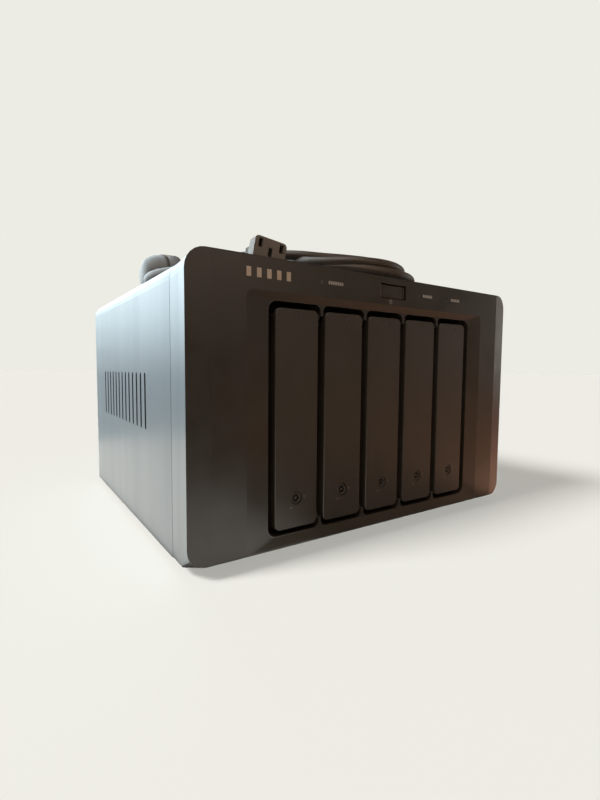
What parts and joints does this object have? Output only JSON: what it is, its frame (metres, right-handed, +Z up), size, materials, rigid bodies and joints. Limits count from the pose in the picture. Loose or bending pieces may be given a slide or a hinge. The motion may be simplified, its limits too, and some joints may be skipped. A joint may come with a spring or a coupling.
{
  "type": "nas enclosure",
  "caption": "Desktop storage enclosure with a wide plastic front, vertical lockable disk trays on slides, rear fans, a power supply, and a detachable mains lead coiled on the lid.",
  "frame": {"origin": "on the floor, under the middle of the case, between its front and rear faces", "axes": "+X to the right seen from the front, -Y towards the viewer of the front, +Z up"},
  "size_m": [0.2478, 0.233, 0.1903],
  "materials": {
    "bezel": "fine satin texture",
    "cover": "satin metallic paint",
    "steel": "zinc-plated sheet",
    "tray": "moulded",
    "handle": "fine satin texture",
    "lock": "dark metal key barrel",
    "light": "translucent light pipe",
    "button": "smoked key",
    "board": "glass-fibre circuit board",
    "fan": "moulded",
    "guard": "black-plated wire",
    "rubber": "matte",
    "socket": "moulded",
    "cord": "flexible PVC"
  },
  "bodies": {
    "case": {"ac_inlet": "socket", "alert_light": "light", "backplane_board": "board", "base_pan": "steel", "controller_board": "board", "cord_coil": "cord", "cord_connector": "cord", "cord_to_connector": "cord", "cord_to_plug": "cord", "data_port": "steel", "drive_cage": "steel", "drive_socket_1": "socket", "drive_socket_2": "socket", "drive_socket_3": "socket", "drive_socket_4": "socket", "drive_socket_5": "socket", "fan_frame_left": "fan", "fan_frame_right": "fan", "fan_guard_left": "guard", "fan_guard_right": "guard", "foot_front_left": "rubber", "foot_front_right": "rubber", "foot_rear_left": "rubber", "foot_rear_right": "rubber", "front_bezel": "bezel", "guide_comb_bottom": "tray", "guide_comb_top": "tray", "led_board": "board", "link_light": "light", "mains_plug": "cord", "psu_case": "steel", "rear_panel": "cover", "status_light": "light", "top_cover": "cover"},
    "tray_1": {"tray_1": "tray"},
    "handle_1": {"tray_handle_1": "handle", "tray_light_1": "light"},
    "lock_1": {"tray_lock_1": "lock"},
    "tray_2": {"tray_2": "tray"},
    "handle_2": {"tray_handle_2": "handle", "tray_light_2": "light"},
    "lock_2": {"tray_lock_2": "lock"},
    "tray_3": {"tray_3": "tray"},
    "handle_3": {"tray_handle_3": "handle", "tray_light_3": "light"},
    "lock_3": {"tray_lock_3": "lock"},
    "tray_4": {"tray_4": "tray"},
    "handle_4": {"tray_handle_4": "handle", "tray_light_4": "light"},
    "lock_4": {"tray_lock_4": "lock"},
    "tray_5": {"tray_5": "tray"},
    "handle_5": {"tray_handle_5": "handle", "tray_light_5": "light"},
    "lock_5": {"tray_lock_5": "lock"},
    "button": {"power_button": "button"},
    "rotor_left": {"fan_rotor_left": "fan"},
    "rotor_right": {"fan_rotor_right": "fan"},
    "rotor_psu": {"psu_fan_rotor": "fan"}
  },
  "joints": [
    {"name": "tray_1_slide", "type": "slide", "parent": "case", "child": "tray_1", "axis": [0, -1, 0], "range_m": [0, 0.14]},
    {"name": "handle_1_hinge", "type": "hinge", "parent": "tray_1", "child": "handle_1", "pos_m": [-0.0632, -0.1103, 0.127], "axis": [-1, 0, 0], "range_deg": [0, 80]},
    {"name": "lock_1_turn", "type": "hinge", "parent": "handle_1", "child": "lock_1", "pos_m": [-0.0632, -0.1111, 0.0326], "axis": [0, 1, 0], "range_deg": [0, 90]},
    {"name": "tray_2_slide", "type": "slide", "parent": "case", "child": "tray_2", "axis": [0, -1, 0], "range_m": [0, 0.14]},
    {"name": "handle_2_hinge", "type": "hinge", "parent": "tray_2", "child": "handle_2", "pos_m": [-0.0316, -0.1103, 0.127], "axis": [-1, 0, 0], "range_deg": [0, 80]},
    {"name": "lock_2_turn", "type": "hinge", "parent": "handle_2", "child": "lock_2", "pos_m": [-0.0316, -0.1111, 0.0326], "axis": [0, 1, 0], "range_deg": [0, 90]},
    {"name": "tray_3_slide", "type": "slide", "parent": "case", "child": "tray_3", "axis": [0, -1, 0], "range_m": [0, 0.14]},
    {"name": "handle_3_hinge", "type": "hinge", "parent": "tray_3", "child": "handle_3", "pos_m": [0, -0.1103, 0.127], "axis": [-1, 0, 0], "range_deg": [0, 80]},
    {"name": "lock_3_turn", "type": "hinge", "parent": "handle_3", "child": "lock_3", "pos_m": [0, -0.1111, 0.0326], "axis": [0, 1, 0], "range_deg": [0, 90]},
    {"name": "tray_4_slide", "type": "slide", "parent": "case", "child": "tray_4", "axis": [0, -1, 0], "range_m": [0, 0.14]},
    {"name": "handle_4_hinge", "type": "hinge", "parent": "tray_4", "child": "handle_4", "pos_m": [0.0316, -0.1103, 0.127], "axis": [-1, 0, 0], "range_deg": [0, 80]},
    {"name": "lock_4_turn", "type": "hinge", "parent": "handle_4", "child": "lock_4", "pos_m": [0.0316, -0.1111, 0.0326], "axis": [0, 1, 0], "range_deg": [0, 90]},
    {"name": "tray_5_slide", "type": "slide", "parent": "case", "child": "tray_5", "axis": [0, -1, 0], "range_m": [0, 0.14]},
    {"name": "handle_5_hinge", "type": "hinge", "parent": "tray_5", "child": "handle_5", "pos_m": [0.0632, -0.1103, 0.127], "axis": [-1, 0, 0], "range_deg": [0, 80]},
    {"name": "lock_5_turn", "type": "hinge", "parent": "handle_5", "child": "lock_5", "pos_m": [0.0632, -0.1111, 0.0326], "axis": [0, 1, 0], "range_deg": [0, 90]},
    {"name": "power_button_press", "type": "slide", "parent": "case", "child": "button", "axis": [0, 1, 0], "range_m": [0, 0.001], "stiffness_N_per_m": 400},
    {"name": "fan_left_spin", "type": "hinge", "parent": "case", "child": "rotor_left", "pos_m": [-0.041, 0.0995, 0.076], "axis": [0, 1, 0], "continuous": true},
    {"name": "fan_right_spin", "type": "hinge", "parent": "case", "child": "rotor_right", "pos_m": [0.041, 0.0995, 0.076], "axis": [0, 1, 0], "continuous": true},
    {"name": "psu_fan_spin", "type": "hinge", "parent": "case", "child": "rotor_psu", "pos_m": [0.101, 0.1069, 0.068], "axis": [0, 1, 0], "continuous": true}
  ]
}
